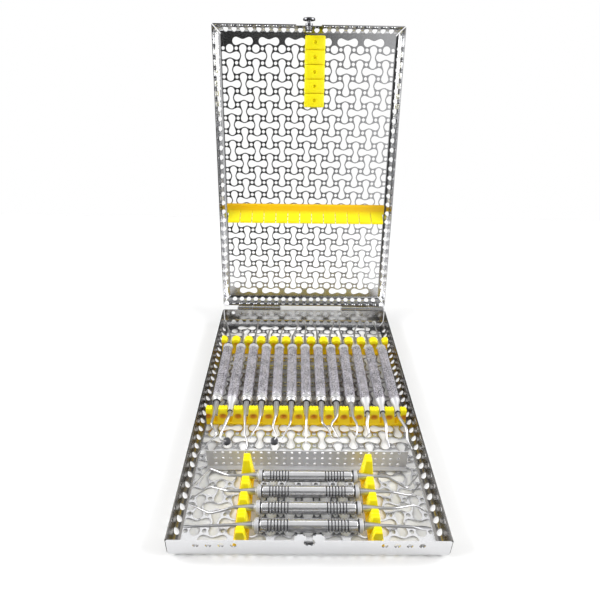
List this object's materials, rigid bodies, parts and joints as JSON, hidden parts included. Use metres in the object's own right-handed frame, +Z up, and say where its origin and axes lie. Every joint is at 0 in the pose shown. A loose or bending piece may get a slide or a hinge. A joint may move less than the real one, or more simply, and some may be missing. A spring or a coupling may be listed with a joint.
{
  "type": "dental instrument cassette",
  "caption": "Flat perforated steel box, opened like a book, with yellow silicone rails and lid strips holding slim hand instruments in its tray; spring button latch in front.",
  "frame": {"origin": "middle of the underside of the tray's floor", "axes": "+X to the user's right along the tray's front, +Y to the back where the hinges are, +Z up out of the tray; the lid stands open on its stops"},
  "size_m": [0.187, 0.3587, 0.3111],
  "materials": {
    "sheet_steel": "bright electropolished stainless steel sheet",
    "satin_steel": "satin stainless steel",
    "silicone": "soft yellow silicone, slightly translucent"
  },
  "bodies": {
    "tray": {"tray_floor": "sheet_steel", "tray_wall_front": "sheet_steel", "tray_wall_back": "sheet_steel", "tray_wall_left": "sheet_steel", "tray_wall_right": "sheet_steel", "rear_rail": "silicone", "front_rail": "silicone", "short_rail_left": "silicone", "short_rail_right": "silicone", "divider": "sheet_steel", "tray_hinge_leaf_left": "sheet_steel", "tray_hinge_leaf_right": "sheet_steel", "hinge_pin_left": "satin_steel", "hinge_pin_right": "satin_steel"},
    "lid": {"lid_panel": "sheet_steel", "lid_wall_front": "sheet_steel", "lid_wall_back": "sheet_steel", "lid_wall_left": "sheet_steel", "lid_wall_right": "sheet_steel", "lid_cross_strip": "silicone", "lid_short_strip": "silicone", "lid_hinge_leaf_left": "sheet_steel", "lid_hinge_leaf_right": "sheet_steel", "latch_bracket": "sheet_steel", "latch_spring": "satin_steel"},
    "button": {"latch_button": "sheet_steel", "latch_clip": "satin_steel"},
    "universal_curette_body": {"universal_curette": "satin_steel"},
    "cord_packer_body": {"cord_packer": "satin_steel"},
    "narrow_curette_body": {"narrow_curette": "satin_steel"},
    "sickle_scaler_body": {"sickle_scaler": "satin_steel"},
    "wide_curette_body": {"wide_curette": "satin_steel"},
    "hatchet_scaler_body": {"hatchet_scaler": "satin_steel"},
    "straight_probe_body": {"straight_probe": "satin_steel"},
    "offset_curette_body": {"offset_curette": "satin_steel"},
    "hook_explorer_body": {"hook_explorer": "satin_steel"},
    "hoe_scaler_body": {"hoe_scaler": "satin_steel"},
    "angled_scaler_body": {"angled_scaler": "satin_steel"},
    "long_curette_body": {"long_curette": "satin_steel"},
    "side_curette_body": {"side_curette": "satin_steel"},
    "cross_explorer_body": {"cross_explorer": "satin_steel"},
    "cross_probe_body": {"cross_probe": "satin_steel"},
    "cross_curette_body": {"cross_curette": "satin_steel"},
    "cement_spatula_body": {"cement_spatula": "satin_steel"}
  },
  "joints": [
    {"name": "lid_hinge", "type": "hinge", "parent": "tray", "child": "lid", "pos_m": [0, 0.1468, 0.0186], "axis": [-1, 0, 0], "range_deg": [-100, 0]},
    {"name": "button_press", "type": "slide", "parent": "lid", "child": "button", "axis": [0, -0.1736, -0.9848], "range_m": [0, 0.0026], "stiffness_N_per_m": 600, "springref_m": -0.002, "deforming": ["latch_spring"]},
    {"name": "lift_universal_curette", "type": "slide", "parent": "tray", "child": "universal_curette_body", "axis": [0, 0, 1], "range_m": [0, 0.06]},
    {"name": "lift_cord_packer", "type": "slide", "parent": "tray", "child": "cord_packer_body", "axis": [0, 0, 1], "range_m": [0, 0.06]},
    {"name": "lift_narrow_curette", "type": "slide", "parent": "tray", "child": "narrow_curette_body", "axis": [0, 0, 1], "range_m": [0, 0.06]},
    {"name": "lift_sickle_scaler", "type": "slide", "parent": "tray", "child": "sickle_scaler_body", "axis": [0, 0, 1], "range_m": [0, 0.06]},
    {"name": "lift_wide_curette", "type": "slide", "parent": "tray", "child": "wide_curette_body", "axis": [0, 0, 1], "range_m": [0, 0.06]},
    {"name": "lift_hatchet_scaler", "type": "slide", "parent": "tray", "child": "hatchet_scaler_body", "axis": [0, 0, 1], "range_m": [0, 0.06]},
    {"name": "lift_straight_probe", "type": "slide", "parent": "tray", "child": "straight_probe_body", "axis": [0, 0, 1], "range_m": [0, 0.06]},
    {"name": "lift_offset_curette", "type": "slide", "parent": "tray", "child": "offset_curette_body", "axis": [0, 0, 1], "range_m": [0, 0.06]},
    {"name": "lift_hook_explorer", "type": "slide", "parent": "tray", "child": "hook_explorer_body", "axis": [0, 0, 1], "range_m": [0, 0.06]},
    {"name": "lift_hoe_scaler", "type": "slide", "parent": "tray", "child": "hoe_scaler_body", "axis": [0, 0, 1], "range_m": [0, 0.06]},
    {"name": "lift_angled_scaler", "type": "slide", "parent": "tray", "child": "angled_scaler_body", "axis": [0, 0, 1], "range_m": [0, 0.06]},
    {"name": "lift_long_curette", "type": "slide", "parent": "tray", "child": "long_curette_body", "axis": [0, 0, 1], "range_m": [0, 0.06]},
    {"name": "lift_side_curette", "type": "slide", "parent": "tray", "child": "side_curette_body", "axis": [0, 0, 1], "range_m": [0, 0.06]},
    {"name": "lift_cross_explorer", "type": "slide", "parent": "tray", "child": "cross_explorer_body", "axis": [0, 0, 1], "range_m": [0, 0.06]},
    {"name": "lift_cross_probe", "type": "slide", "parent": "tray", "child": "cross_probe_body", "axis": [0, 0, 1], "range_m": [0, 0.06]},
    {"name": "lift_cross_curette", "type": "slide", "parent": "tray", "child": "cross_curette_body", "axis": [0, 0, 1], "range_m": [0, 0.06]},
    {"name": "lift_cement_spatula", "type": "slide", "parent": "tray", "child": "cement_spatula_body", "axis": [0, 0, 1], "range_m": [0, 0.06]}
  ]
}
